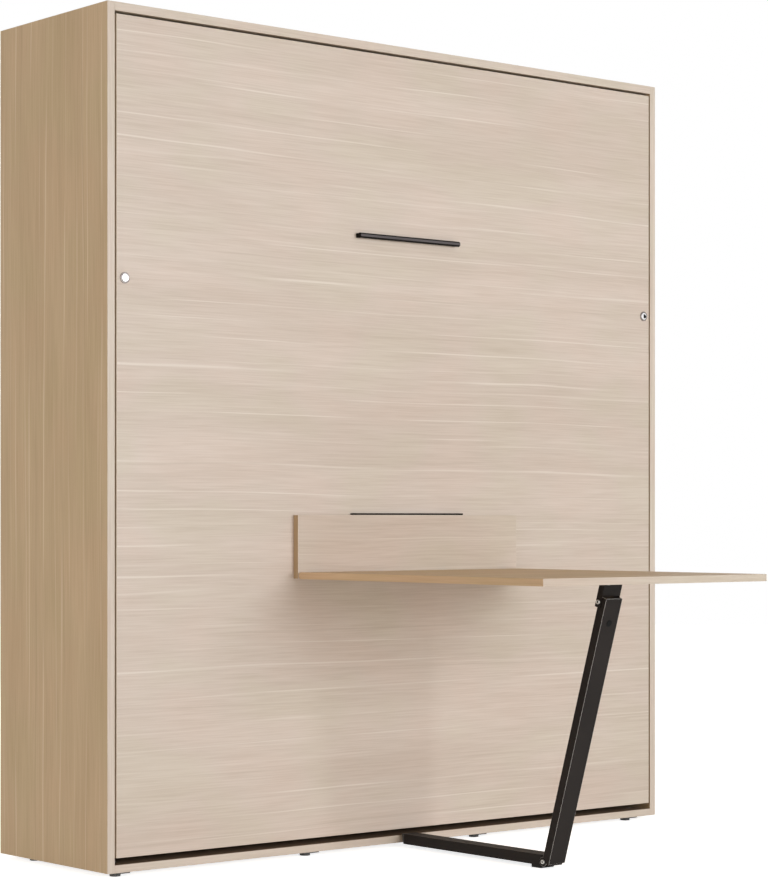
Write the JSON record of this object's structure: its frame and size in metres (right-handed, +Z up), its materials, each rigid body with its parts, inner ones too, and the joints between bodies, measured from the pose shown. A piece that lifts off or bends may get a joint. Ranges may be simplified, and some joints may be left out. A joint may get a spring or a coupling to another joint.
{
  "type": "wall bed with fold down desk",
  "caption": "Floor standing cabinet with a wide bed that tilts down behind one front board; a desk on the board, with a folding centre leg, stays level and slides under the bed.",
  "frame": {"origin": "floor level, middle of the width, on the plane of the wall behind the cabinet", "axes": "+Z up, +Y into the wall, +X to the right as seen by someone who stands in front of the cabinet"},
  "size_m": [1.97, 1.42, 2.17],
  "materials": {
    "oak_board": "satin",
    "back_board": "matte",
    "frame_steel": "satin",
    "black_steel": "satin",
    "zinc_steel": "satin",
    "bright_chrome": "polished",
    "black_plastic": "matte",
    "black_handle": "matte",
    "grey_plastic": "matte",
    "black_rubber": "matte",
    "birch_ply": "satin"
  },
  "bodies": {
    "cabinet": {"side_panel_left": "oak_board", "side_panel_right": "oak_board", "top_panel": "oak_board", "bottom_panel": "oak_board", "back_panel_left": "back_board", "back_panel_right": "back_board", "back_joiner_strip": "back_board", "wall_rail": "oak_board", "middle_rail": "oak_board", "lower_rail": "oak_board", "panel_cams": "zinc_steel", "foot_plates": "black_plastic", "levelling_feet": "black_plastic", "pivot_plates": "zinc_steel", "pivot_pins": "zinc_steel", "strut_brackets": "zinc_steel", "lock_strikers": "zinc_steel", "door_stops": "black_plastic", "fitting_screws": "zinc_steel"},
    "bed": {"front_panel": "oak_board", "side_rail_left": "frame_steel", "side_rail_right": "frame_steel", "head_rail": "frame_steel", "foot_rail": "frame_steel", "centre_beam": "frame_steel", "slats_left": "birch_ply", "slats_right": "birch_ply", "slat_holders": "black_plastic", "pivot_arm_left": "black_steel", "pivot_arm_right": "black_steel", "pivot_bushes": "grey_plastic", "mattress_hoop": "frame_steel", "pull_handle": "black_handle", "lock_rings": "bright_chrome", "desk_board": "oak_board", "board_strip": "black_plastic", "desk_hinge_knuckles": "black_steel", "desk_hinge_pins": "zinc_steel", "bed_leg_brackets": "black_steel", "panel_screws": "zinc_steel"},
    "desk": {"desk_top": "oak_board", "leg_bracket": "black_steel", "bracket_screws": "zinc_steel", "leg_pivot_bolt": "zinc_steel"},
    "leg": {"desk_leg": "black_steel", "leg_plug": "black_plastic", "foot_pivot_bolt": "zinc_steel"},
    "foot": {"foot_bar": "black_steel", "foot_bar_cap": "black_plastic", "foot_pad": "black_rubber"},
    "bed_legs": {"bed_leg_bow": "black_steel", "bed_leg_feet": "black_plastic"},
    "strut_tube_l": {"strut_tube_left": "black_steel"},
    "strut_tube_r": {"strut_tube_right": "black_steel"},
    "strut_rod_l": {"strut_rod_left": "bright_chrome"},
    "strut_rod_r": {"strut_rod_right": "bright_chrome"},
    "lock_l": {"lock_knob_left": "bright_chrome", "lock_cam_left": "zinc_steel"},
    "lock_r": {"lock_knob_right": "bright_chrome", "lock_cam_right": "zinc_steel"}
  },
  "joints": [
    {"name": "bed_tilt", "type": "hinge", "parent": "cabinet", "child": "bed", "pos_m": [0, -0.41, 0.35], "axis": [1, 0, 0], "range_deg": [0, 90], "stiffness_Nm_per_rad": 267, "springref_deg": -17.19},
    {"name": "desk_fold", "type": "hinge", "parent": "bed", "child": "desk", "pos_m": [0, -0.5255, 0.74], "axis": [1, 0, 0], "range_deg": [-90, 0]},
    {"name": "leg_fold", "type": "hinge", "parent": "desk", "child": "leg", "pos_m": [0, -1.246, 0.683], "axis": [1, 0, 0], "range_deg": [0, 62.1]},
    {"name": "foot_bar_fold", "type": "hinge", "parent": "leg", "child": "foot", "pos_m": [0, -1.04908, 0.0182], "axis": [1, 0, 0], "range_deg": [-45.1, 0]},
    {"name": "bed_leg_swing", "type": "hinge", "parent": "bed", "child": "bed_legs", "pos_m": [0, -0.455, 2.05], "axis": [1, 0, 0], "range_deg": [0, 180]},
    {"name": "strut_swing_left", "type": "hinge", "parent": "cabinet", "child": "strut_tube_l", "pos_m": [-0.9385, -0.375, 0.9], "axis": [1, 0, 0], "range_deg": [0, 11.16]},
    {"name": "strut_slide_left", "type": "slide", "parent": "strut_tube_l", "child": "strut_rod_l", "axis": [0, -0.0357, 0.9994], "range_m": [0, 0.19713]},
    {"name": "strut_swing_right", "type": "hinge", "parent": "cabinet", "child": "strut_tube_r", "pos_m": [0.9385, -0.375, 0.9], "axis": [1, 0, 0], "range_deg": [0, 11.16]},
    {"name": "strut_slide_right", "type": "slide", "parent": "strut_tube_r", "child": "strut_rod_r", "axis": [0, -0.0357, 0.9994], "range_m": [0, 0.19713]},
    {"name": "lock_turn_left", "type": "hinge", "parent": "bed", "child": "lock_l", "pos_m": [-0.934, -0.47, 1.487], "axis": [0, 1, 0], "range_deg": [0, 90]},
    {"name": "lock_turn_right", "type": "hinge", "parent": "bed", "child": "lock_r", "pos_m": [0.934, -0.47, 1.487], "axis": [0, -1, 0], "range_deg": [0, 90]}
  ],
  "couplings": [
    {"joint": "desk_fold", "follows": "bed_tilt", "ratio": -1},
    {"joint": "leg_fold", "follows": "bed_tilt", "ratio": 0.69},
    {"joint": "foot_bar_fold", "follows": "bed_tilt", "ratio": -0.50111},
    {"joint": "bed_leg_swing", "follows": "bed_tilt", "ratio": 2},
    {"joint": "strut_swing_left", "follows": "bed_tilt", "ratio": 0.12403},
    {"joint": "strut_slide_left", "follows": "bed_tilt", "m_per_rad": 0.1255},
    {"joint": "strut_swing_right", "follows": "bed_tilt", "ratio": 0.12403},
    {"joint": "strut_slide_right", "follows": "bed_tilt", "m_per_rad": 0.1255}
  ]
}
